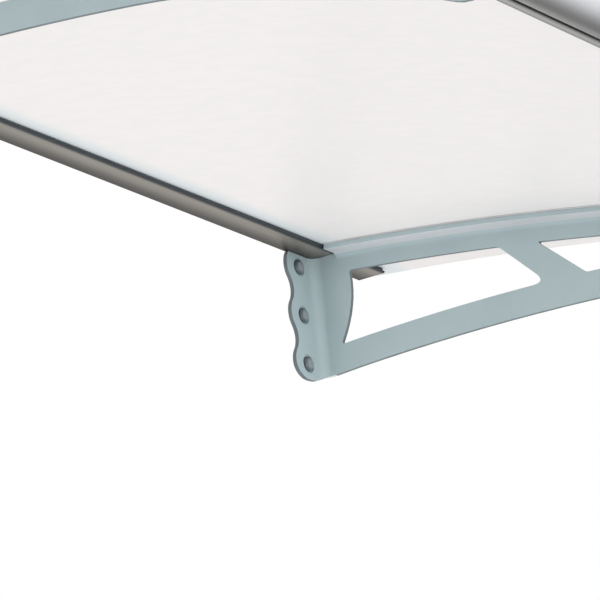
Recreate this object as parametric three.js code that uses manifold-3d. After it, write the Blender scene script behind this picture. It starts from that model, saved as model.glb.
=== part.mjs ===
// Door canopy: a curved sheet held in a rear wall rail and a front gutter, carried by two
// bent steel brackets. x runs along the wall, d straight out from it, z up, all in millimetres.
// The origin lies on the wall, mid-width, just above where the sheet's underside would meet it.
import * as THREE from 'three';
import { mergeVertices } from 'three/addons/utils/BufferGeometryUtils.js';
import Module from 'manifold-3d';

const wasm = await Module();
wasm.setup();

// Fits
const TOUCH = 0.3;
const SCREW_CLEARANCE = 0.4;

// Sheet
const SHEET_WIDTH = 1200;
const SHEET_THICKNESS = 4;
const SHEET_RADIUS = 3400;
const SHEET_CROWN_SETBACK = 278;
const SHEET_DROP = 4.7;
const SHEET_GRIP = 20;

// Rear rail
const RAIL_INSET = 19;
const RAIL_DEPTH = 30;
const RAIL_DROP = 11.8;
const RAIL_JAW = 2.5;
const RAIL_SEAL = 1.8;
const RAIL_SEAL_END_GAP = 1.2;
const RAIL_EDGE_ROUND = 1.2;
const UPSTAND_HEIGHT = 34;
const UPSTAND_THICKNESS = 3.2;
const RAIL_FIXINGS = 4;
const RAIL_FIXING_INSET = 120;
const END_CAP_THICKNESS = 3;
const WALL_SEAL_HEIGHT = 5;
const WALL_SEAL_DEPTH = 6;

// Front gutter
const GUTTER_RADIUS = 42;
const GUTTER_WALL = 2.5;
const GUTTER_OUT = 745;
const GUTTER_RISE = 19;
const GUTTER_RIM_ANGLE = 15;
const LOWER_JAW = 25.5;
const UPPER_JAW = 12;
const BEAD_RADIUS = 4.8;
const GUTTER_SEAL = 1.6;

// Brackets
const PLATE = 4;
const BRACKET_INSET = 107.5;
const UPPER_ARM = 23.5;
const LOWER_ARM = 27;
const ARCH_CROWN_OUT = 180;
const ARCH_CROWN_DROP = 124.3;
const ARCH_RADIUS = 2600;
const ARCH_END = 465;
const BEAK_RADIUS = 975;
const NOSE_OVERHANG = 27;
const NOSE_RADIUS = 36;
const POST_TOP = 43.5;
const POST_WAIST = 42;
const POST_FOOT = 27.5;
const STRUT_TOP = 228;
const STRUT_FOOT = 276;
const STRUT_SPAN = 42;
const SECOND_OPENING_END = 455;
const CORNER_ROUND = 4;
const STRUT_ROUND = 16;
const ROUND_LIMIT = 0.45;

// Wall flange and its fixings
const FLANGE_WIDTH = 44.8;
const FLANGE_BEND = 10;
const HOLE_COUNT = 3;
const HOLE_PITCH = 48;
const HOLE_INSET = 24;
const TOP_HOLE_DROP = 12.6;
const LOBE_DEPTH = 8;
const FOOT_DROP = 15.3;
const HOLE_RADIUS = 4.5;
const CAP_HEAD_RADIUS = 7.4;
const CAP_HEAD_HEIGHT = 4.2;
const CAP_RIM_HEIGHT = 1;
const CAP_RECESS_DEPTH = 1.2;
const CAP_RECESS_MARGIN = 1.6;

// Sheet seat along the bracket's top
const LIP_WIDTH = 21.6;
const LIP_BEND = 6;
const LIP_SEAL = 1;
const LIP_END_GAP = 2;

// Screws between bracket and front gutter
const TAB_WIDTH = 26;
const TAB_LENGTH = 26;
const TAB_ANGLE = -125;
const SCREW_RADIUS = 2.6;
const SCREW_LENGTH = 16;
const SCREW_HEAD_RADIUS = 5.2;
const SCREW_HEAD_HEIGHT = 3.4;

// Fineness of round stretches
const ROUND_SEGMENTS = 24;
const ARC_SEGMENTS = 8;
const SMALL_SEGMENTS = 3;
const SHEET_SEGMENTS = 16;
const SWEEP_STEPS = 20;
const TURNED_SIDES = 16;
const DOME_STEPS = 4;

const RIGHT = new THREE.Vector3(1, 0, 0);
const OUT = new THREE.Vector3(0, -1, 0);
const UP = new THREE.Vector3(0, 0, 1);
const DEGREE = Math.PI / 180;

const finishes = {
  sheet: new THREE.MeshStandardMaterial({ color: 0xedeae8, roughness: 0.35, metalness: 0 }),
  paint: new THREE.MeshStandardMaterial({ color: 0xa5b4b9, roughness: 0.45, metalness: 0.1 }),
  rail: new THREE.MeshStandardMaterial({ color: 0x87827a, roughness: 0.4, metalness: 0.9 }),
  gutter: new THREE.MeshStandardMaterial({ color: 0xc9cdd2, roughness: 0.22, metalness: 1 }),
  cap: new THREE.MeshStandardMaterial({ color: 0x4a545a, roughness: 0.3, metalness: 0 }),
  rubber: new THREE.MeshStandardMaterial({ color: 0x3c464e, roughness: 0.7, metalness: 0 }),
  pad: new THREE.MeshStandardMaterial({ color: 0xd0d3d5, roughness: 0.8, metalness: 0 }),
  zinc: new THREE.MeshStandardMaterial({ color: 0xb4b8ba, roughness: 0.35, metalness: 0.9 }),
};

// Extrusions: a section in (d, z) along the wall, a plan in (x, d) upwards, a face in (x, z) outwards
function extrude(shape, depth, curveSegments) {
  return new THREE.ExtrudeGeometry(shape, { depth, bevelEnabled: false, curveSegments });
}

function alongWall(shape, fromX, toX, curveSegments = ARC_SEGMENTS) {
  const turn = new THREE.Matrix4().makeBasis(OUT, UP, RIGHT.clone().negate());
  return extrude(shape, toX - fromX, curveSegments).applyMatrix4(turn).translate(toX, 0, 0);
}

function upwards(shape, fromZ, toZ) {
  const turn = new THREE.Matrix4().makeBasis(RIGHT, OUT, UP.clone().negate());
  return extrude(shape, toZ - fromZ, ARC_SEGMENTS).applyMatrix4(turn).translate(0, 0, toZ);
}

function outFromWall(shape, fromD, toD) {
  const turn = new THREE.Matrix4().makeBasis(RIGHT, UP, OUT);
  return extrude(shape, toD - fromD, ARC_SEGMENTS).applyMatrix4(turn).translate(0, -fromD, 0);
}

// Solids for joining and cutting
function solid(geometry) {
  const bare = geometry.clone();
  bare.deleteAttribute('normal');
  bare.deleteAttribute('uv');
  const merged = mergeVertices(bare);
  const vertProperties = merged.attributes.position.array;
  const triVerts = Uint32Array.from(merged.index.array);
  return new wasm.Manifold(new wasm.Mesh({ numProp: 3, vertProperties, triVerts }));
}

function geometryOf(body) {
  const { vertProperties, triVerts } = body.getMesh();
  const geometry = new THREE.BufferGeometry();
  geometry.setAttribute('position', new THREE.BufferAttribute(vertProperties, 3));
  geometry.setIndex(new THREE.BufferAttribute(triVerts, 1));
  geometry.computeVertexNormals();
  return geometry;
}

function mirroredInX(geometry) {
  const copy = geometry.clone().scale(-1, 1, 1);
  const index = copy.index.array;
  for (let i = 0; i < index.length; i += 3) {
    const first = index[i];
    index[i] = index[i + 2];
    index[i + 2] = first;
  }
  copy.computeVertexNormals();
  return copy;
}

const canopy = new THREE.Group();

function place(name, geometry, finish) {
  const mesh = new THREE.Mesh(geometry, finish);
  mesh.name = name;
  canopy.add(mesh);
  return mesh;
}

// The sheet's underside is an arc that would meet the wall a little below the origin
const crown = {
  d: -SHEET_CROWN_SETBACK,
  z: -SHEET_DROP - Math.sqrt(SHEET_RADIUS ** 2 - SHEET_CROWN_SETBACK ** 2),
};

function sheetAngle(d) {
  return Math.acos((d - crown.d) / SHEET_RADIUS);
}

function sheetHeight(d) {
  return crown.z + SHEET_RADIUS * Math.sin(sheetAngle(d));
}

function offSheet(d, height) {
  const angle = sheetAngle(d);
  const reach = SHEET_RADIUS + height;
  return new THREE.Vector2(crown.d + reach * Math.cos(angle), crown.z + reach * Math.sin(angle));
}

// A band that follows the sheet between two distances from the wall and two heights off its underside
function sheetBand(fromD, toD, low, high) {
  const rear = sheetAngle(fromD);
  const front = sheetAngle(toD);
  const band = new THREE.Shape();
  band.absarc(crown.d, crown.z, SHEET_RADIUS + high, front, rear, false);
  band.absarc(crown.d, crown.z, SHEET_RADIUS + low, rear, front, true);
  return band;
}

// The same path for sections swept along the sheet, from the front edge to the rear one
class SheetPath extends THREE.Curve {
  constructor(fromD, toD) {
    super();
    this.rear = sheetAngle(fromD);
    this.front = sheetAngle(toD);
  }

  getPoint(t, target = new THREE.Vector3()) {
    const angle = this.front + (this.rear - this.front) * t;
    const d = crown.d + SHEET_RADIUS * Math.cos(angle);
    return target.set(0, -d, crown.z + SHEET_RADIUS * Math.sin(angle));
  }
}

function sweptAlongSheet(section, fromD, toD) {
  const extrudePath = new SheetPath(fromD, toD);
  const curveSegments = SMALL_SEGMENTS;
  return new THREE.ExtrudeGeometry(section, { steps: SWEEP_STEPS, extrudePath, curveSegments });
}

const webSpacing = SHEET_WIDTH - 2 * BRACKET_INSET;
const railLength = SHEET_WIDTH - 2 * RAIL_INSET;
const railFloor = -RAIL_DROP;
const railSlotRear = RAIL_DEPTH - SHEET_GRIP - TOUCH;
const sheetRear = RAIL_DEPTH - SHEET_GRIP;
const gutterAxis = new THREE.Vector2(GUTTER_OUT, sheetHeight(GUTTER_OUT) + GUTTER_RISE);
const gutterRear = GUTTER_OUT - GUTTER_RADIUS;
const sheetFront = gutterRear + SHEET_GRIP;
const beadOut = gutterRear - LOWER_JAW;
const beadDrop = 2 * TOUCH + BEAD_RADIUS;

// Sheet
const sheetSection = sheetBand(sheetRear, sheetFront, 0, SHEET_THICKNESS);
const sheetBody = alongWall(sheetSection, -SHEET_WIDTH / 2, SHEET_WIDTH / 2, SHEET_SEGMENTS);
place('canopy_sheet', sheetBody, finishes.sheet);

// Rear rail: a grooved jaw for the sheet below a screw-on upstand
const jawGap = RAIL_SEAL + 2 * TOUCH;
const jawTop = SHEET_THICKNESS + TOUCH;

function railOutline() {
  const outline = new THREE.Shape();
  const frontFloor = RAIL_DEPTH - RAIL_EDGE_ROUND;
  const jawFront = offSheet(RAIL_DEPTH, jawTop);
  const jawRoot = offSheet(railSlotRear, jawTop);
  outline.moveTo(0, railFloor + RAIL_EDGE_ROUND);
  outline.quadraticCurveTo(0, railFloor, RAIL_EDGE_ROUND, railFloor);
  outline.lineTo(frontFloor, railFloor);
  outline.quadraticCurveTo(RAIL_DEPTH, railFloor, RAIL_DEPTH, railFloor + RAIL_EDGE_ROUND);
  outline.lineTo(RAIL_DEPTH, sheetHeight(RAIL_DEPTH) - jawGap);
  outline.lineTo(railSlotRear, sheetHeight(railSlotRear) - jawGap);
  outline.lineTo(jawRoot.x, jawRoot.y);
  outline.lineTo(jawFront.x, jawFront.y);
  outline.lineTo(jawFront.x, jawFront.y + RAIL_JAW);
  outline.lineTo(UPSTAND_THICKNESS, jawRoot.y + RAIL_JAW);
  outline.lineTo(UPSTAND_THICKNESS, UPSTAND_HEIGHT);
  outline.lineTo(0, UPSTAND_HEIGHT);
  outline.closePath();
  return outline;
}

const railEnd = railLength / 2 - END_CAP_THICKNESS - TOUCH;
const railFixingStep = (railLength - 2 * RAIL_FIXING_INSET) / (RAIL_FIXINGS - 1);
const railFixingZ = (UPSTAND_HEIGHT + sheetHeight(0) + jawTop + RAIL_JAW) / 2;
const railFixingX = [];
for (let i = 0; i < RAIL_FIXINGS; i += 1) {
  railFixingX.push(-railLength / 2 + RAIL_FIXING_INSET + i * railFixingStep);
}

function holeThroughWall(x, z, radius, fromD, toD) {
  const disc = new THREE.Shape();
  disc.absarc(x, z, radius, 0, 2 * Math.PI, false);
  return solid(outFromWall(disc, fromD, toD));
}

let rail = solid(alongWall(railOutline(), -railEnd, railEnd, SMALL_SEGMENTS));
for (const x of railFixingX) {
  rail = rail.subtract(holeThroughWall(x, railFixingZ, HOLE_RADIUS, -PLATE, UPSTAND_THICKNESS + PLATE));
}
place('rear_rail', geometryOf(rail), finishes.rail);

const railSealSection = sheetBand(sheetRear + RAIL_SEAL_END_GAP, RAIL_DEPTH, -RAIL_SEAL - TOUCH, -TOUCH);
place('rear_glazing_seal', alongWall(railSealSection, -railEnd, railEnd, SMALL_SEGMENTS), finishes.rubber);

for (const [side, from] of [['left', -railLength / 2], ['right', railEnd + TOUCH]]) {
  const capGeometry = alongWall(railOutline(), from, from + END_CAP_THICKNESS, SMALL_SEGMENTS);
  const sheetSlot = sheetBand(sheetRear - 2 * TOUCH, 2 * RAIL_DEPTH, -TOUCH, SHEET_THICKNESS + TOUCH);
  const slot = solid(alongWall(sheetSlot, from - PLATE, from + END_CAP_THICKNESS + PLATE, SMALL_SEGMENTS));
  place(`rear_rail_end_cap_${side}`, geometryOf(solid(capGeometry).subtract(slot)), finishes.rail);
}

const wallSealFoot = UPSTAND_HEIGHT + TOUCH;
const wallSealOutline = new THREE.Shape();
wallSealOutline.moveTo(0, wallSealFoot);
wallSealOutline.lineTo(UPSTAND_THICKNESS, wallSealFoot);
wallSealOutline.quadraticCurveTo(WALL_SEAL_DEPTH, wallSealFoot, 0, wallSealFoot + WALL_SEAL_HEIGHT);
wallSealOutline.closePath();
place('wall_seal', alongWall(wallSealOutline, -railEnd, railEnd, SMALL_SEGMENTS), finishes.rubber);

// Front gutter: a half-round trough with two jaws that grip the sheet's front edge
const gutterEnd = SHEET_WIDTH / 2 - END_CAP_THICKNESS - TOUCH;
const channelEnd = sheetFront + TOUCH;
const channelTop = SHEET_THICKNESS + GUTTER_SEAL + 2 * TOUCH;

// Where the tube's wall runs into a jaw at the given height off the sheet, as an angle about its axis
function jawAngle(height) {
  const across = crown.d - gutterAxis.x;
  const down = crown.z - gutterAxis.y;
  const apart = Math.hypot(across, down);
  const reach = SHEET_RADIUS + height;
  const radius = GUTTER_RADIUS - GUTTER_WALL / 2;
  const cosine = (apart ** 2 + radius ** 2 - reach ** 2) / (2 * apart * radius);
  return Math.atan2(down, across) - Math.acos(cosine);
}

const rimAngle = GUTTER_RIM_ANGLE * DEGREE;
const jawFoot = jawAngle(-TOUCH - GUTTER_WALL / 2);

function trough() {
  const section = new THREE.Shape();
  section.absarc(gutterAxis.x, gutterAxis.y, GUTTER_RADIUS, jawFoot, rimAngle, false);
  section.absarc(gutterAxis.x, gutterAxis.y, GUTTER_RADIUS - GUTTER_WALL, rimAngle, jawFoot, true);
  return section;
}

function gutterJaws() {
  const lowerRear = sheetAngle(beadOut);
  const upperRear = sheetAngle(gutterRear - UPPER_JAW);
  const inside = sheetAngle(channelEnd);
  const outside = sheetAngle(channelEnd + GUTTER_WALL);
  const jaws = new THREE.Shape();
  jaws.absarc(crown.d, crown.z, SHEET_RADIUS - TOUCH - GUTTER_WALL, lowerRear, outside, true);
  jaws.absarc(crown.d, crown.z, SHEET_RADIUS + channelTop + GUTTER_WALL, outside, upperRear, false);
  jaws.absarc(crown.d, crown.z, SHEET_RADIUS + channelTop, upperRear, inside, true);
  jaws.absarc(crown.d, crown.z, SHEET_RADIUS - TOUCH, inside, lowerRear, false);
  return jaws;
}

function bead(centre) {
  const section = new THREE.Shape();
  section.absarc(centre.x, centre.y, BEAD_RADIUS, 0, 2 * Math.PI, false);
  return section;
}

function gutterBody() {
  const rim = new THREE.Vector2(Math.cos(rimAngle), Math.sin(rimAngle));
  rim.multiplyScalar(GUTTER_RADIUS - BEAD_RADIUS).add(gutterAxis);
  const run = (section, segments) => solid(alongWall(section, -gutterEnd, gutterEnd, segments));
  let body = run(trough(), ROUND_SEGMENTS).add(run(gutterJaws(), SMALL_SEGMENTS));
  for (const centre of [offSheet(beadOut, -beadDrop), rim]) {
    body = body.add(run(bead(centre), ARC_SEGMENTS));
  }
  return body;
}

// The tab's outward direction, from the gutter's axis to the screw head
const tabAngle = TAB_ANGLE * DEGREE;
const tabOutward = new THREE.Vector3(0, -Math.cos(tabAngle), Math.sin(tabAngle));
const tabX = webSpacing / 2 - TAB_WIDTH / 2;
const gutterAxisPoint = new THREE.Vector3(0, -gutterAxis.x, gutterAxis.y);
const tabFace = GUTTER_RADIUS + 2 * TOUCH;

function radialRod(x, radius, from, to) {
  const rod = new THREE.CylinderGeometry(radius, radius, to - from, TURNED_SIDES);
  rod.translate(0, (from + to) / 2, 0);
  rod.applyQuaternion(new THREE.Quaternion().setFromUnitVectors(new THREE.Vector3(0, 1, 0), tabOutward));
  return rod.translate(x, gutterAxisPoint.y, gutterAxisPoint.z);
}

const screwHole = SCREW_RADIUS + SCREW_CLEARANCE;
let gutter = gutterBody();
for (const x of [-tabX, tabX]) {
  gutter = gutter.subtract(solid(radialRod(x, screwHole, GUTTER_RADIUS - 2 * GUTTER_WALL, tabFace)));
}
place('front_gutter', geometryOf(gutter), finishes.gutter);

const gutterSealRear = gutterRear - UPPER_JAW;
const gutterSealFoot = SHEET_THICKNESS + TOUCH;
const gutterSealSection = sheetBand(gutterSealRear, sheetFront, gutterSealFoot, channelTop - TOUCH);
const gutterSeal = alongWall(gutterSealSection, -gutterEnd, gutterEnd, SMALL_SEGMENTS);
place('front_glazing_seal', gutterSeal, finishes.rubber);

for (const [side, from] of [['left', -SHEET_WIDTH / 2], ['right', gutterEnd + TOUCH]]) {
  const half = new THREE.Shape();
  half.absarc(gutterAxis.x, gutterAxis.y, GUTTER_RADIUS, jawFoot, rimAngle, false);
  half.closePath();
  const disc = solid(alongWall(half, from, from + END_CAP_THICKNESS, ROUND_SEGMENTS));
  const sheetSlot = sheetBand(gutterRear - LOWER_JAW, sheetFront + TOUCH, -TOUCH, SHEET_THICKNESS + TOUCH);
  const slot = solid(alongWall(sheetSlot, from - PLATE, from + END_CAP_THICKNESS + PLATE, SMALL_SEGMENTS));
  place(`front_gutter_end_cap_${side}`, geometryOf(disc.subtract(slot)), finishes.cap);
}

// Bracket edges: a flat arch along the bottom that steepens into a beak and ends in a round nose
const arch = { d: ARCH_CROWN_OUT, z: -ARCH_CROWN_DROP - ARCH_RADIUS };
const archEndAngle = Math.acos((ARCH_END - arch.d) / ARCH_RADIUS);
const beak = {
  d: arch.d + (ARCH_RADIUS - BEAK_RADIUS) * Math.cos(archEndAngle),
  z: arch.z + (ARCH_RADIUS - BEAK_RADIUS) * Math.sin(archEndAngle),
};
const noseOut = GUTTER_OUT + NOSE_OVERHANG;
const noseAngle = Math.acos((noseOut - beak.d) / (BEAK_RADIUS + NOSE_RADIUS));
const nose = { d: noseOut, z: beak.z + (BEAK_RADIUS + NOSE_RADIUS) * Math.sin(noseAngle) };

function archHeight(d, grow = 0) {
  const part = d < ARCH_END ? arch : beak;
  const reach = (d < ARCH_END ? ARCH_RADIUS : BEAK_RADIUS) + grow;
  return part.z + Math.sqrt(reach ** 2 - (d - part.d) ** 2);
}

// A closed outline with its own rounding at each corner; an edge may bow through a middle point
function roundedOutline(corners) {
  const path = new THREE.Path();
  const edges = corners.map(({ at, via, round }, i) => {
    const following = corners[(i + 1) % corners.length];
    const next = following.at;
    const length = at.distanceTo(next);
    const from = Math.min(round / length, ROUND_LIMIT);
    const to = 1 - Math.min(following.round / length, ROUND_LIMIT);
    const middle = at.clone().add(next).multiplyScalar(0.5);
    const control = via ? via.clone().multiplyScalar(2).sub(middle) : middle;
    const whole = new THREE.QuadraticBezierCurve(at, control, next);
    const bend = at.clone().multiplyScalar((1 - from) * (1 - to));
    bend.addScaledVector(control, (1 - from) * to + from * (1 - to)).addScaledVector(next, from * to);
    return { start: whole.getPoint(from), end: whole.getPoint(to), bend, next };
  });
  path.moveTo(edges[0].start.x, edges[0].start.y);
  edges.forEach(({ end, bend, next }, i) => {
    const following = edges[(i + 1) % edges.length].start;
    path.quadraticCurveTo(bend.x, bend.y, end.x, end.y);
    path.quadraticCurveTo(next.x, next.y, following.x, following.y);
  });
  return path;
}

function underUpperArm(d) {
  return new THREE.Vector2(d, sheetHeight(d) - UPPER_ARM);
}

function overLowerArm(d) {
  return new THREE.Vector2(d, archHeight(d, LOWER_ARM));
}

function openings() {
  const half = STRUT_SPAN / 2;
  const waist = (underUpperArm(POST_WAIST).y + overLowerArm(POST_WAIST).y) / 2;
  const round = CORNER_ROUND;
  const firstTop = underUpperArm((POST_TOP + STRUT_TOP - half) / 2);
  const firstFoot = overLowerArm((POST_FOOT + STRUT_FOOT - half) / 2);
  const first = [
    { at: underUpperArm(POST_TOP), via: firstTop, round },
    { at: underUpperArm(STRUT_TOP - half), round },
    { at: overLowerArm(STRUT_FOOT - half), via: firstFoot, round: STRUT_ROUND },
    { at: overLowerArm(POST_FOOT), via: new THREE.Vector2(POST_WAIST, waist), round },
  ];
  const secondTop = underUpperArm((STRUT_TOP + half + SECOND_OPENING_END) / 2);
  const secondFoot = overLowerArm((STRUT_FOOT + half + SECOND_OPENING_END) / 2);
  const second = [
    { at: underUpperArm(STRUT_TOP + half), via: secondTop, round },
    { at: underUpperArm(SECOND_OPENING_END), round },
    { at: overLowerArm(SECOND_OPENING_END), via: secondFoot, round },
    { at: overLowerArm(STRUT_FOOT + half), round },
  ];
  return [roundedOutline(first), roundedOutline(second)];
}

const bendOut = FLANGE_BEND + PLATE;
const webCeiling = railFloor - TOUCH;
const lipTop = -LIP_SEAL - 2 * TOUCH;
const lipBendStart = lipTop - PLATE - LIP_BEND;
const lipRear = RAIL_DEPTH + LIP_END_GAP;
const lipFront = beadOut - BEAD_RADIUS - LIP_END_GAP;

function webOutline() {
  const outline = new THREE.Shape();
  const archStart = Math.acos((bendOut - arch.d) / ARCH_RADIUS);
  const topReach = SHEET_RADIUS + lipBendStart;
  outline.moveTo(bendOut, webCeiling);
  outline.lineTo(bendOut, archHeight(bendOut));
  outline.absarc(arch.d, arch.z, ARCH_RADIUS, archStart, archEndAngle, true);
  outline.absarc(beak.d, beak.z, BEAK_RADIUS, archEndAngle, noseAngle, true);
  outline.absarc(nose.d, nose.z, NOSE_RADIUS, noseAngle - Math.PI, Math.PI / 2, false);
  outline.lineTo(gutterAxis.x, nose.z + NOSE_RADIUS);
  outline.absarc(crown.d, crown.z, topReach, sheetAngle(gutterRear), sheetAngle(lipRear), false);
  outline.lineTo(lipRear, webCeiling);
  outline.closePath();
  outline.holes.push(...openings());
  return outline;
}

// Wall flange: lobed round each fixing hole, bent in from the web
const lobeRadius = ((HOLE_PITCH / 2) ** 2 + LOBE_DEPTH ** 2) / (4 * LOBE_DEPTH);
const lobeSweep = Math.asin(HOLE_PITCH / 4 / lobeRadius);
const lobeX = -FLANGE_WIDTH + lobeRadius;
const valleyX = -FLANGE_WIDTH + LOBE_DEPTH - lobeRadius;
const holeZ = [];
for (let i = 0; i < HOLE_COUNT; i += 1) {
  holeZ.push(railFloor - TOP_HOLE_DROP - i * HOLE_PITCH);
}

function flangeOutline() {
  const outline = new THREE.Shape();
  const shoulder = Math.PI - Math.asin(Math.min(1, (webCeiling - holeZ[0]) / lobeRadius));
  const foot = archHeight(bendOut);
  outline.moveTo(PLATE + TOUCH, foot);
  outline.lineTo(PLATE + TOUCH, webCeiling);
  holeZ.forEach((z, i) => {
    const from = i === 0 ? shoulder : Math.PI - lobeSweep;
    const last = i === HOLE_COUNT - 1;
    outline.absarc(lobeX, z, lobeRadius, from, last ? Math.PI : Math.PI + lobeSweep, false);
    if (!last) {
      outline.absarc(valleyX, z - HOLE_PITCH / 2, lobeRadius, lobeSweep, -lobeSweep, true);
    }
  });
  const lowest = holeZ[HOLE_COUNT - 1];
  outline.absellipse(lobeX, lowest, lobeRadius, FOOT_DROP, Math.PI, 1.5 * Math.PI, false);
  outline.quadraticCurveTo(-FLANGE_BEND, lowest - FOOT_DROP, 0, foot);
  outline.closePath();
  return outline;
}

function bentCorner() {
  const plan = new THREE.Shape();
  const end = bendOut + PLATE;
  plan.moveTo(-FLANGE_WIDTH - PLATE, 0);
  plan.lineTo(-FLANGE_BEND, 0);
  plan.absarc(-FLANGE_BEND, bendOut, bendOut, -Math.PI / 2, 0, false);
  plan.lineTo(PLATE, end);
  plan.lineTo(0, end);
  plan.lineTo(0, bendOut);
  plan.absarc(-FLANGE_BEND, bendOut, FLANGE_BEND, 0, -Math.PI / 2, true);
  plan.lineTo(-FLANGE_WIDTH - PLATE, PLATE);
  plan.closePath();
  const lowest = holeZ[HOLE_COUNT - 1] - 2 * lobeRadius;
  const blank = solid(outFromWall(flangeOutline(), -PLATE, end + PLATE));
  return solid(upwards(plan, lowest, webCeiling + PLATE)).intersect(blank);
}

// Seat lip: the web's top edge bent in under the sheet
function lipSection() {
  const section = new THREE.Shape();
  section.moveTo(LIP_WIDTH, lipTop);
  section.lineTo(LIP_WIDTH, lipTop - PLATE);
  section.lineTo(LIP_BEND, lipTop - PLATE);
  section.absarc(LIP_BEND, lipBendStart, LIP_BEND, Math.PI / 2, Math.PI, false);
  section.lineTo(0, lipBendStart - PLATE);
  section.lineTo(-PLATE, lipBendStart - PLATE);
  section.lineTo(-PLATE, lipBendStart);
  section.absarc(LIP_BEND, lipBendStart, LIP_BEND + PLATE, Math.PI, Math.PI / 2, true);
  section.closePath();
  return section;
}

function gutterTab() {
  const outward = new THREE.Vector2(Math.cos(tabAngle), Math.sin(tabAngle));
  const along = new THREE.Vector2(-outward.y, outward.x).multiplyScalar(TAB_LENGTH / 2);
  const inner = gutterAxis.clone().addScaledVector(outward, tabFace);
  const outer = inner.clone().addScaledVector(outward, PLATE);
  const rearEnd = [inner.clone().sub(along), outer.clone().sub(along)];
  const frontEnd = [outer.clone().add(along), inner.clone().add(along)];
  return solid(alongWall(new THREE.Shape([...rearEnd, ...frontEnd]), -TAB_WIDTH, PLATE));
}

function gutterSeat() {
  const disc = new THREE.Shape();
  disc.absarc(gutterAxis.x, gutterAxis.y, tabFace, 0, 2 * Math.PI, false);
  const seat = solid(alongWall(disc, -LIP_WIDTH - PLATE, 2 * PLATE, ROUND_SEGMENTS));
  const beadLow = -beadDrop - BEAD_RADIUS - 2 * TOUCH;
  const jaws = sheetBand(lipFront + TOUCH, GUTTER_OUT, beadLow, GUTTER_RADIUS);
  return seat.add(solid(alongWall(jaws, -LIP_WIDTH - PLATE, 2 * PLATE, SMALL_SEGMENTS)));
}

function bracketBody() {
  let body = solid(alongWall(webOutline(), 0, PLATE));
  body = body.add(bentCorner());
  body = body.add(solid(sweptAlongSheet(lipSection(), lipRear, lipFront)));
  body = body.subtract(gutterSeat()).add(gutterTab());
  const recessRadius = CAP_HEAD_RADIUS + CAP_RECESS_MARGIN;
  for (const z of holeZ) {
    body = body.subtract(holeThroughWall(-HOLE_INSET, z, HOLE_RADIUS, -PLATE, 2 * PLATE));
    body = body.subtract(holeThroughWall(-HOLE_INSET, z, recessRadius, PLATE - CAP_RECESS_DEPTH, 2 * PLATE));
  }
  const hole = radialRod(-TAB_WIDTH / 2, screwHole, GUTTER_RADIUS, tabFace + 2 * PLATE);
  return body.subtract(solid(hole));
}

// Domed cap that closes a fixing hole, standing out along its own y
function fixingCap(plugLength) {
  const plugRadius = HOLE_RADIUS - SCREW_CLEARANCE;
  const points = [new THREE.Vector2(0, -plugLength), new THREE.Vector2(plugRadius, -plugLength)];
  points.push(new THREE.Vector2(plugRadius, 0), new THREE.Vector2(CAP_HEAD_RADIUS, 0));
  const dome = CAP_HEAD_HEIGHT - CAP_RIM_HEIGHT;
  for (let i = 0; i <= DOME_STEPS; i += 1) {
    const angle = (i / DOME_STEPS) * (Math.PI / 2);
    const radius = i === DOME_STEPS ? 0 : CAP_HEAD_RADIUS * Math.cos(angle);
    points.push(new THREE.Vector2(radius, CAP_RIM_HEIGHT + dome * Math.sin(angle)));
  }
  return new THREE.LatheGeometry(points, TURNED_SIDES);
}

function placeCap(name, x, d, z, plugLength) {
  const cap = place(name, fixingCap(plugLength), finishes.cap);
  cap.rotation.x = Math.PI;
  cap.position.set(x, -d, z);
}

// Pan-head screw on its own y, its head's seat at zero
function gutterScrew() {
  const profile = [
    new THREE.Vector2(0, -SCREW_LENGTH),
    new THREE.Vector2(SCREW_RADIUS, -SCREW_LENGTH + SCREW_RADIUS),
    new THREE.Vector2(SCREW_RADIUS, 0),
    new THREE.Vector2(SCREW_HEAD_RADIUS, 0),
    new THREE.Vector2(SCREW_HEAD_RADIUS, SCREW_HEAD_HEIGHT / 2),
    new THREE.Vector2(SCREW_HEAD_RADIUS / 2, SCREW_HEAD_HEIGHT),
    new THREE.Vector2(0, SCREW_HEAD_HEIGHT),
  ];
  return new THREE.LatheGeometry(profile, TURNED_SIDES);
}

const bracket = geometryOf(bracketBody());
const padSection = new THREE.Shape();
padSection.moveTo(LIP_BEND, lipTop + TOUCH);
padSection.lineTo(LIP_BEND, -TOUCH);
padSection.lineTo(LIP_WIDTH, -TOUCH);
padSection.lineTo(LIP_WIDTH, lipTop + TOUCH);
padSection.closePath();
const pad = mergeVertices(sweptAlongSheet(padSection, lipRear, lipFront));
const capPlug = PLATE - CAP_RECESS_DEPTH;
const holeNames = ['upper', 'middle', 'lower'];

for (const [side, sign] of [['left', -1], ['right', 1]]) {
  const webX = sign * webSpacing / 2;
  const plate = place(`bracket_${side}`, sign > 0 ? bracket : mirroredInX(bracket), finishes.paint);
  plate.position.x = webX;
  const seatPad = place(`lip_seal_${side}`, sign > 0 ? pad : mirroredInX(pad), finishes.pad);
  seatPad.position.x = webX;
  holeZ.forEach((z, i) => {
    const capX = webX - sign * HOLE_INSET;
    placeCap(`wall_fixing_cap_${side}_${holeNames[i]}`, capX, capPlug + TOUCH, z, capPlug);
  });
  const screw = place(`gutter_screw_${side}`, gutterScrew(), finishes.zinc);
  screw.quaternion.setFromUnitVectors(new THREE.Vector3(0, 1, 0), tabOutward);
  screw.position.copy(gutterAxisPoint).addScaledVector(tabOutward, tabFace + PLATE + TOUCH);
  screw.position.x = sign * tabX;
}

railFixingX.forEach((x, i) => {
  placeCap(`rail_fixing_cap_${i + 1}`, x, UPSTAND_THICKNESS + TOUCH, railFixingZ, UPSTAND_THICKNESS);
});

export default canopy;
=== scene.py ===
import math

import bpy
from mathutils import Matrix


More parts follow.
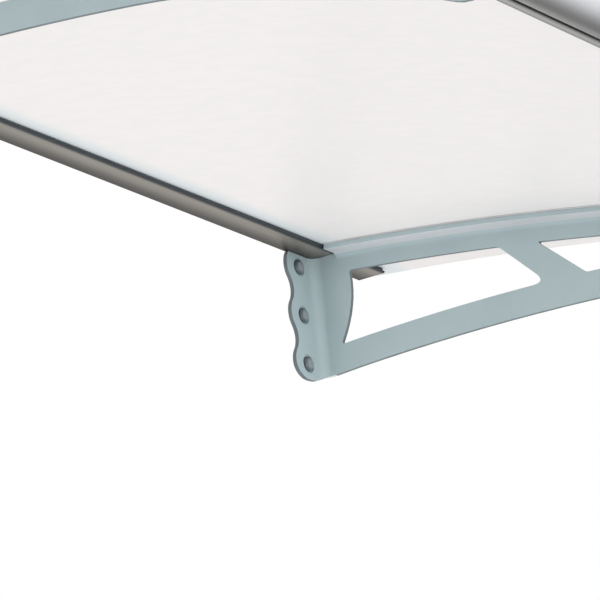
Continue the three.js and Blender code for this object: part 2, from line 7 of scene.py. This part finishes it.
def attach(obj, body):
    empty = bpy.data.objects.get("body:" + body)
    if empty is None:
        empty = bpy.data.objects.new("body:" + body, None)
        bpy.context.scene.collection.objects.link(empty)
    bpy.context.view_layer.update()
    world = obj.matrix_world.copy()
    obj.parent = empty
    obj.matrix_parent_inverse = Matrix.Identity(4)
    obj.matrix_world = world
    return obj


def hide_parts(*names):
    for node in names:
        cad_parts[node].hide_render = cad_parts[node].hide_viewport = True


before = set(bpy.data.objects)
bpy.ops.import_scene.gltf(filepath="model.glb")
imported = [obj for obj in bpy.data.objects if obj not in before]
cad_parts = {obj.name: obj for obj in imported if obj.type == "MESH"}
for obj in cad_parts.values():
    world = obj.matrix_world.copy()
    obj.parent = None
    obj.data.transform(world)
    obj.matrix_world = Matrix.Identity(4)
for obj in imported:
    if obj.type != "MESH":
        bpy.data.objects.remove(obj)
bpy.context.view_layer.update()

# The brackets are each laser cut from 4 mm steel, pierced, and bent on a press: a lobed flange at
# the wall, a seat lip along the sheet. The blue-grey powder coat is painted dark on the cut and eased
# edges as painted shade, and painted paler beneath the lip as painted light.
EASED_EDGE = 0.0004
CUT_EDGE = 0.0008
PLATE = 0.004
PLATE_SLACK = 0.0001
EASED_STEPS = 2
EDGE_ANGLE = math.radians(28)
FLAT_ANGLE = math.radians(0.4)
WELD = 0.00001
SHORT_EDGE = 0.0003
PAINT_PALE = (0.405, 0.508, 0.532, 1)
PAINT_DEEP = (0.378, 0.474, 0.497, 1)
LIP_PAINTED_LIGHT = (0.610, 0.625, 0.650, 1)
LIP_LIGHT_FACING = (-0.80, -0.97)
EDGE_SHADE_PALE = (0.150, 0.185, 0.200, 1)
EDGE_SHADE_DEEP = (0.105, 0.132, 0.145, 1)
PAINT_GLOSS = 0.6
PAINT_GLOSS_ROUGH = 0.2
CLOUD_DETAIL = 4
CLOUD_RANGE = (0.32, 0.68)
GRAIN_DETAIL = 2
GRAIN_HEIGHT = 0.0002


def mark_cut_faces(mesh):
    """Gives the second finish, the painted edge shade on the brackets, to the faces that are as wide
    as the plate is thick.
    """
    for face in mesh.polygons:
        sides = [(mesh.vertices[a].co - mesh.vertices[b].co).length for a, b in face.edge_keys]
        across = sum(abs(side - PLATE) < PLATE_SLACK for side in sides)
        if len(sides) == 4 and across >= 2:
            face.material_index = 1


def finished_copy(node, finish, edge=EASED_EDGE, edge_finish=None):
    """A copy of a cut piece with its edges eased and its bends smooth, in the piece's own place."""
    bpy.ops.object.select_all(action="DESELECT")
    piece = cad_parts[node].copy()
    piece.data = piece.data.copy()
    piece.name = node + "_finished"
    bpy.context.collection.objects.link(piece)
    piece.parent = None
    piece.matrix_world = Matrix.Identity(4)
    piece.select_set(True)
    bpy.context.view_layer.objects.active = piece
    bpy.ops.object.mode_set(mode="EDIT")
    bpy.ops.mesh.select_all(action="SELECT")
    bpy.ops.mesh.remove_doubles(threshold=WELD)
    bpy.ops.mesh.dissolve_limited(angle_limit=FLAT_ANGLE)
    bpy.ops.object.mode_set(mode="OBJECT")
    piece.data.materials.clear()
    piece.data.materials.append(finish)
    if edge_finish:
        piece.data.materials.append(edge_finish)
        mark_cut_faces(piece.data)
    bpy.ops.object.mode_set(mode="EDIT")
    bpy.ops.mesh.select_all(action="SELECT")
    bpy.ops.mesh.remove_doubles(threshold=SHORT_EDGE)
    bpy.ops.object.mode_set(mode="OBJECT")
    if edge:
        bevel = piece.modifiers.new("eased_edges", "BEVEL")
        bevel.width = edge
        bevel.segments = EASED_STEPS
        bevel.limit_method = "ANGLE"
        bevel.angle_limit = EDGE_ANGLE
        # On the brackets the eased edges take the last finish, the painted edge shade.
        bevel.material = len(piece.data.materials) - 1
        bpy.ops.object.modifier_apply(modifier=bevel.name)
    bpy.ops.object.shade_smooth_by_angle(angle=EDGE_ANGLE)
    level = piece.modifiers.new("level_faces", "WEIGHTED_NORMAL")
    level.keep_sharp = True
    bpy.ops.object.modifier_apply(modifier=level.name)
    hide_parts(node)
    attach(piece, "root")
    return piece


def grain_group():
    """Cloudy colour, fine speckle and a height for bump, shared by every finish."""
    group = bpy.data.node_groups.new("surface_grain", "ShaderNodeTree")
    for name, kind in (("Pale", "NodeSocketColor"), ("Deep", "NodeSocketColor"),
                       ("Cloud Scale", "NodeSocketFloat"), ("Grain Scale", "NodeSocketFloat"),
                       ("Stretch", "NodeSocketVector"), ("Rough Low", "NodeSocketFloat"),
                       ("Rough High", "NodeSocketFloat")):
        group.interface.new_socket(name, in_out="INPUT", socket_type=kind)
    for name, kind in (("Color", "NodeSocketColor"), ("Roughness", "NodeSocketFloat"),
                       ("Height", "NodeSocketFloat")):
        group.interface.new_socket(name, in_out="OUTPUT", socket_type=kind)
    nodes = group.nodes
    link = group.links.new
    given = nodes.new("NodeGroupInput")
    made = nodes.new("NodeGroupOutput")
    place = nodes.new("ShaderNodeTexCoord")
    stretch = nodes.new("ShaderNodeVectorMath")
    stretch.operation = "MULTIPLY"
    link(place.outputs["Object"], stretch.inputs[0])
    link(given.outputs["Stretch"], stretch.inputs[1])
    cloud = nodes.new("ShaderNodeTexNoise")
    cloud.inputs["Detail"].default_value = CLOUD_DETAIL
    link(stretch.outputs[0], cloud.inputs["Vector"])
    link(given.outputs["Cloud Scale"], cloud.inputs["Scale"])
    grain = nodes.new("ShaderNodeTexNoise")
    grain.inputs["Detail"].default_value = GRAIN_DETAIL
    link(stretch.outputs[0], grain.inputs["Vector"])
    link(given.outputs["Grain Scale"], grain.inputs["Scale"])
    contrast = nodes.new("ShaderNodeMapRange")
    contrast.inputs["From Min"].default_value = CLOUD_RANGE[0]
    contrast.inputs["From Max"].default_value = CLOUD_RANGE[1]
    link(cloud.outputs["Fac"], contrast.inputs["Value"])
    shade = nodes.new("ShaderNodeMix")
    shade.data_type = "RGBA"
    link(contrast.outputs["Result"], shade.inputs["Factor"])
    link(given.outputs["Deep"], shade.inputs["A"])
    link(given.outputs["Pale"], shade.inputs["B"])
    rough = nodes.new("ShaderNodeMapRange")
    link(grain.outputs["Fac"], rough.inputs["Value"])
    link(given.outputs["Rough Low"], rough.inputs["To Min"])
    link(given.outputs["Rough High"], rough.inputs["To Max"])
    link(shade.outputs["Result"], made.inputs["Color"])
    link(rough.outputs["Result"], made.inputs["Roughness"])
    link(grain.outputs["Fac"], made.inputs["Height"])
    return group


grain = grain_group()


def grained_finish(name, pale, deep, cloud_scale, grain_scale, rough, bump, metallic=0.0,
                   stretch=(1, 1, 1)):
    """A material whose colour, roughness and bump all come from the shared grain."""
    finish = bpy.data.materials.new(name)
    finish.use_nodes = True
    nodes = finish.node_tree.nodes
    link = finish.node_tree.links.new
    shader = nodes["Principled BSDF"]
    shader.inputs["Metallic"].default_value = metallic
    surface = nodes.new("ShaderNodeGroup")
    surface.name = "grain"
    surface.node_tree = grain
    surface.inputs["Pale"].default_value = pale
    surface.inputs["Deep"].default_value = deep
    surface.inputs["Cloud Scale"].default_value = cloud_scale
    surface.inputs["Grain Scale"].default_value = grain_scale
    surface.inputs["Stretch"].default_value = stretch
    surface.inputs["Rough Low"].default_value = rough[0]
    surface.inputs["Rough High"].default_value = rough[1]
    relief = nodes.new("ShaderNodeBump")
    relief.inputs["Strength"].default_value = bump
    relief.inputs["Distance"].default_value = GRAIN_HEIGHT
    link(surface.outputs["Color"], shader.inputs["Base Color"])
    link(surface.outputs["Roughness"], shader.inputs["Roughness"])
    link(surface.outputs["Height"], relief.inputs["Height"])
    link(relief.outputs["Normal"], shader.inputs["Normal"])
    return finish


def painted_light_beneath(finish, tone, clear_z, full_z):
    """Paints light into a finish where the surface faces down: a painted light that makes the seat lip
    paler.
    """
    nodes = finish.node_tree.nodes
    link = finish.node_tree.links.new
    outward = nodes.new("ShaderNodeNewGeometry")
    axes = nodes.new("ShaderNodeSeparateXYZ")
    underside = nodes.new("ShaderNodeMapRange")
    underside.inputs["From Min"].default_value = clear_z
    underside.inputs["From Max"].default_value = full_z
    mix = nodes.new("ShaderNodeMix")
    mix.data_type = "RGBA"
    mix.inputs["B"].default_value = tone
    link(outward.outputs["Normal"], axes.inputs[0])
    link(axes.outputs["Z"], underside.inputs["Value"])
    link(underside.outputs["Result"], mix.inputs["Factor"])
    link(nodes["grain"].outputs["Color"], mix.inputs["A"])
    link(mix.outputs["Result"], nodes["Principled BSDF"].inputs["Base Color"])


powder_coat_lip_light = grained_finish("powder_coat_lip_light", PAINT_PALE, PAINT_DEEP, cloud_scale=14, grain_scale=950,
                             rough=(0.38, 0.52), bump=0.25)
gloss = powder_coat_lip_light.node_tree.nodes["Principled BSDF"].inputs
gloss["Coat Weight"].default_value = PAINT_GLOSS
gloss["Coat Roughness"].default_value = PAINT_GLOSS_ROUGH
# Painted light: the powder coat turns paler where it faces down, beneath the seat lip.
painted_light_beneath(powder_coat_lip_light, LIP_PAINTED_LIGHT, *LIP_LIGHT_FACING)
# Painted shade: the cut edges and eased edges of the brackets are painted dark.
painted_edge_shade = grained_finish("painted_edge_shade", EDGE_SHADE_PALE, EDGE_SHADE_DEEP, cloud_scale=60, grain_scale=950,
                           rough=(0.45, 0.6), bump=0.25)
for side in ("left", "right"):
    finished_copy("bracket_" + side, powder_coat_lip_light, CUT_EDGE, painted_edge_shade)

# Pale self-adhesive foam strips lie along the seat lips, so that the sheet doesn't rattle on the
# painted steel. They are cut from a roll and stuck down before the sheet is laid.
FOAM_PALE = (0.66, 0.68, 0.69, 1)
FOAM_DEEP = (0.58, 0.60, 0.62, 1)
foam = grained_finish("foam_strip", FOAM_PALE, FOAM_DEEP, cloud_scale=40, grain_scale=1400,
                      rough=(0.75, 0.9), bump=0.5)
for side in ("left", "right"):
    finished_copy("lip_seal_" + side, foam, edge=0)

# Domed plastic caps snap into the screw holes of the flanges and of the rail's upstand. They are
# moulded in a dark grey, and the crown of the dome is painted paler as a painted highlight.
CAP_PALE = (0.085, 0.112, 0.130, 1)
CAP_DEEP = (0.055, 0.076, 0.090, 1)
CAP_CROWN_HIGHLIGHT = (0.235, 0.270, 0.285, 1)
CAP_HIGHLIGHT_BAND = (-0.0056, -0.0070)
RAIL_FIXINGS = 4


def toned_along(finish, tone, clear_y, full_y):
    """Mixes a tone into a finish, growing from one distance off the wall to another."""
    nodes = finish.node_tree.nodes
    link = finish.node_tree.links.new
    colour = nodes["Principled BSDF"].inputs["Base Color"]
    before = colour.links[0].from_socket
    place = nodes.new("ShaderNodeTexCoord")
    axes = nodes.new("ShaderNodeSeparateXYZ")
    band = nodes.new("ShaderNodeMapRange")
    band.interpolation_type = "SMOOTHSTEP"
    band.inputs["From Min"].default_value = clear_y
    band.inputs["From Max"].default_value = full_y
    mix = nodes.new("ShaderNodeMix")
    mix.data_type = "RGBA"
    mix.inputs["B"].default_value = tone
    link(place.outputs["Object"], axes.inputs[0])
    link(axes.outputs["Y"], band.inputs["Value"])
    link(band.outputs["Result"], mix.inputs["Factor"])
    link(before, mix.inputs["A"])
    link(mix.outputs["Result"], colour)


cap_plastic = grained_finish("cap_plastic", CAP_PALE, CAP_DEEP, cloud_scale=120, grain_scale=1800,
                             rough=(0.22, 0.34), bump=0.12)
# Painted highlight: a paler band on the crown of each dome.
toned_along(cap_plastic, CAP_CROWN_HIGHLIGHT, *CAP_HIGHLIGHT_BAND)
for side in ("left", "right"):
    for row in ("upper", "middle", "lower"):
        finished_copy(f"wall_fixing_cap_{side}_{row}", cap_plastic, edge=0)
for number in range(1, RAIL_FIXINGS + 1):
    finished_copy(f"rail_fixing_cap_{number}", cap_plastic, edge=0)

# The rear rail is extruded aluminium with a brown-grey anodised skin, sawn to length. Fine die lines
# run along it. Its two long edges are painted dark: painted shade where it meets the wall, and
# along its front edge by the glazing seal.
RAIL_PALE = (0.300, 0.278, 0.245, 1)
RAIL_DEEP = (0.262, 0.243, 0.215, 1)
RAIL_WALL_SHADE = (0.050, 0.044, 0.038, 1)
RAIL_FRONT_SHADE = (0.050, 0.056, 0.062, 1)
WALL_SHADE_BAND = (-0.025, -0.002)
FRONT_SHADE_BAND = (-0.0256, -0.0292)
DIE_LINES = (1.5, 90, 90)
rail_finish_and_shade = grained_finish("rail_anodised_edge_shade", RAIL_PALE, RAIL_DEEP, cloud_scale=3, grain_scale=30,
                          rough=(0.34, 0.5), bump=0.08, metallic=0.55, stretch=DIE_LINES)
# Painted shade: the rail darkens towards the wall and along its front edge by the seal.
toned_along(rail_finish_and_shade, RAIL_WALL_SHADE, *WALL_SHADE_BAND)
toned_along(rail_finish_and_shade, RAIL_FRONT_SHADE, *FRONT_SHADE_BAND)
for name in ("rear_rail", "rear_rail_end_cap_left", "rear_rail_end_cap_right"):
    finished_copy(name, rail_finish_and_shade)

# Dark rubber seals: two wedge the sheet in the rail and the gutter, and one lip closes the gap
# between the rail's upstand and the wall. They are extruded and pushed into their grooves.
RUBBER_PALE = (0.060, 0.075, 0.088, 1)
RUBBER_DEEP = (0.036, 0.046, 0.055, 1)
rubber = grained_finish("dark_rubber", RUBBER_PALE, RUBBER_DEEP, cloud_scale=30, grain_scale=1100,
                        rough=(0.55, 0.75), bump=0.35)
for name in ("rear_glazing_seal", "front_glazing_seal", "wall_seal"):
    finished_copy(name, rubber, edge=0)

# The sheet is 4 mm opal plastic, bent cold into a shallow arc between rail and gutter. Its warm
# white is faintly clouded, and towards the rail it has a cool painted shade.
SHEET_PALE = (0.862, 0.822, 0.818, 1)
SHEET_DEEP = (0.825, 0.812, 0.796, 1)
SHEET_COOL_SHADE = (0.715, 0.765, 0.780, 1)
COOL_SHADE_BAND = (-0.056, -0.036)
CLOUD_STRETCH = (1.5, 0.8, 0.8)
opal_and_shade = grained_finish("opal_sheet_rail_shade", SHEET_PALE, SHEET_DEEP, cloud_scale=48, grain_scale=420,
                      rough=(0.34, 0.46), bump=0.06, stretch=CLOUD_STRETCH)
# Painted shade: the sheet turns darker and cooler near the rail.
toned_along(opal_and_shade, SHEET_COOL_SHADE, *COOL_SHADE_BAND)
finished_copy("canopy_sheet", opal_and_shade)

# The front gutter is a half-round anodised aluminium extrusion with a bead along each edge. The
# sheet's front edge slides into its channel. Its metal is painted dark as painted shade, with a
# painted highlight on the bead's crown and a bright painted reflection along the front of the belly.
GUTTER_SHADE_PALE = (0.125, 0.122, 0.116, 1)
GUTTER_SHADE_DULL = (0.098, 0.096, 0.091, 1)
GUTTER_REFLECTION = (0.890, 0.905, 0.940, 1)
BEAD_HIGHLIGHT = (0.400, 0.400, 0.390, 1)
BEAD_HIGHLIGHT_RISE = (-0.6735, -0.6770)
BEAD_HIGHLIGHT_FALL = (-0.6780, -0.6820)
BELLY_REFLECTION_BAND = (-0.737, -0.778)
END_CAP_PALE = (0.270, 0.330, 0.350, 1)
END_CAP_DEEP = (0.235, 0.290, 0.310, 1)
GUTTER_EDGE = 0.0003
END_CAP_EDGE = 0.0005
# The gutter's dark metal colour is painted shade, standing in for a dark reflection.
gutter_painted_light = grained_finish("gutter_painted_light_and_shade", GUTTER_SHADE_PALE, GUTTER_SHADE_DULL, cloud_scale=3,
                                 grain_scale=30, rough=(0.24, 0.30), bump=0.02, metallic=1.0,
                                 stretch=DIE_LINES)
# Painted highlight on the bead's crown, painted shade again in front of it, and a bright painted
# reflection on the front of the belly.
toned_along(gutter_painted_light, BEAD_HIGHLIGHT, *BEAD_HIGHLIGHT_RISE)
toned_along(gutter_painted_light, GUTTER_SHADE_DULL, *BEAD_HIGHLIGHT_FALL)
toned_along(gutter_painted_light, GUTTER_REFLECTION, *BELLY_REFLECTION_BAND)
finished_copy("front_gutter", gutter_painted_light, edge=GUTTER_EDGE)
moulded_grey = grained_finish("moulded_grey", END_CAP_PALE, END_CAP_DEEP, cloud_scale=30,
                              grain_scale=1500, rough=(0.45, 0.6), bump=0.2)
for side in ("left", "right"):
    finished_copy("front_gutter_end_cap_" + side, moulded_grey, edge=END_CAP_EDGE)

# Zinc plated pan-head screws hold the gutter to the tab on each bracket. The plating is bright,
# with a faint cloudy bloom.
ZINC_PALE = (0.56, 0.58, 0.59, 1)
ZINC_DEEP = (0.42, 0.43, 0.44, 1)
SCREW_EDGE = 0.0003
zinc = grained_finish("zinc_plate", ZINC_PALE, ZINC_DEEP, cloud_scale=300, grain_scale=1600,
                      rough=(0.26, 0.42), bump=0.2, metallic=1.0)
for side in ("left", "right"):
    finished_copy("gutter_screw_" + side, zinc, edge=SCREW_EDGE)

# A pale studio floor lies well below the canopy, as a floor does below a door. It throws soft
# light up at the underside, and it is open from beneath.
FLOOR_DROP = 2.4
FLOOR_SIZE = 40
FLOOR_COLOUR = (0.86, 0.86, 0.86, 1)
FLOOR_ROUGH = 0.9
bpy.ops.object.select_all(action="DESELECT")
bpy.ops.mesh.primitive_plane_add(size=FLOOR_SIZE, location=(0, 0, -FLOOR_DROP))
floor = bpy.context.object
floor.name = "studio_floor"
floor_finish = bpy.data.materials.new("studio_floor")
floor_finish.use_nodes = True
floor_nodes = floor_finish.node_tree.nodes
floor_link = floor_finish.node_tree.links.new
floor_nodes["Principled BSDF"].inputs["Base Color"].default_value = FLOOR_COLOUR
floor_nodes["Principled BSDF"].inputs["Roughness"].default_value = FLOOR_ROUGH
facing = floor_nodes.new("ShaderNodeNewGeometry")
clear = floor_nodes.new("ShaderNodeBsdfTransparent")
either = floor_nodes.new("ShaderNodeMixShader")
floor_link(facing.outputs["Backfacing"], either.inputs["Fac"])
floor_link(floor_nodes["Principled BSDF"].outputs["BSDF"], either.inputs[1])
floor_link(clear.outputs["BSDF"], either.inputs[2])
floor_link(either.outputs["Shader"], floor_nodes["Material Output"].inputs["Surface"])
floor.data.materials.append(floor_finish)

# Even studio light comes from all round, with one large soft panel low in front, a little to the left.
# What the lens and bright metal see behind the canopy is plain white.
ROOM_LIGHT = 0.78
PANEL_POWER = 72
PANEL_SIZE = 3.0
PANEL_PLACE = (-1.2, -4.0, -1.0)
world = bpy.data.worlds.new("studio")
bpy.context.scene.world = world
world.use_nodes = True
sky = world.node_tree.nodes
sky_link = world.node_tree.links.new
sky["Background"].inputs["Color"].default_value = (1, 1, 1, 1)
sky["Background"].inputs["Strength"].default_value = ROOM_LIGHT
white = sky.new("ShaderNodeBackground")
white.inputs["Color"].default_value = (1, 1, 1, 1)
white.inputs["Strength"].default_value = 1
rays = sky.new("ShaderNodeLightPath")
seen = sky.new("ShaderNodeMath")
seen.operation = "MAXIMUM"
seen_or_mirrored = sky.new("ShaderNodeMath")
seen_or_mirrored.operation = "MAXIMUM"
choice = sky.new("ShaderNodeMixShader")
sky_link(rays.outputs["Is Camera Ray"], seen.inputs[0])
sky_link(rays.outputs["Is Glossy Ray"], seen.inputs[1])
sky_link(seen.outputs[0], seen_or_mirrored.inputs[0])
sky_link(rays.outputs["Is Transmission Ray"], seen_or_mirrored.inputs[1])
sky_link(seen_or_mirrored.outputs[0], choice.inputs["Fac"])
sky_link(sky["Background"].outputs["Background"], choice.inputs[1])
sky_link(white.outputs["Background"], choice.inputs[2])
sky_link(choice.outputs["Shader"], sky["World Output"].inputs["Surface"])

bpy.ops.object.light_add(type="AREA", location=PANEL_PLACE)
panel = bpy.context.object
panel.name = "soft_panel"
panel.data.energy = PANEL_POWER
panel.data.size = PANEL_SIZE
panel.rotation_euler = panel.location.to_track_quat("Z", "Y").to_euler()

# A wide soft panel lies just above the floor and lights the canopy's underside, as light bounced
# off a pale floor does. The lens doesn't see it.
LIFT_POWER = 50
LIFT_SIZE = 6.0
LIFT_PLACE = (0, -0.4, -2.3)
bpy.ops.object.light_add(type="AREA", location=LIFT_PLACE, rotation=(math.pi, 0, 0))
lift = bpy.context.object
lift.name = "floor_panel"
lift.data.energy = LIFT_POWER
lift.data.size = LIFT_SIZE
lift.visible_camera = False

# The lens is long, and stands below and in front of the canopy, to its left. It is tipped a little,
# and looks up at the right bracket and the sheet's underside.
LENS = 432
FILM = 36
LENS_REACH = 100
LENS_PLACE = (-5.02701, -3.36696, -2.13276)
LENS_HEADING = 58.5166
LENS_TILT = 17.8592
LENS_ROLL = -5.6797
bpy.ops.object.camera_add()
camera = bpy.context.object
camera.data.lens = LENS
camera.data.sensor_width = FILM
camera.data.clip_end = LENS_REACH
heading = Matrix.Rotation(math.radians(-LENS_HEADING), 4, "Z")
tilt = Matrix.Rotation(math.radians(90 + LENS_TILT), 4, "X")
roll = Matrix.Rotation(math.radians(LENS_ROLL), 4, "Z")
camera.matrix_world = Matrix.Translation(LENS_PLACE) @ heading @ tilt @ roll
bpy.context.scene.camera = camera
bpy.context.scene.view_settings.view_transform = "Standard"
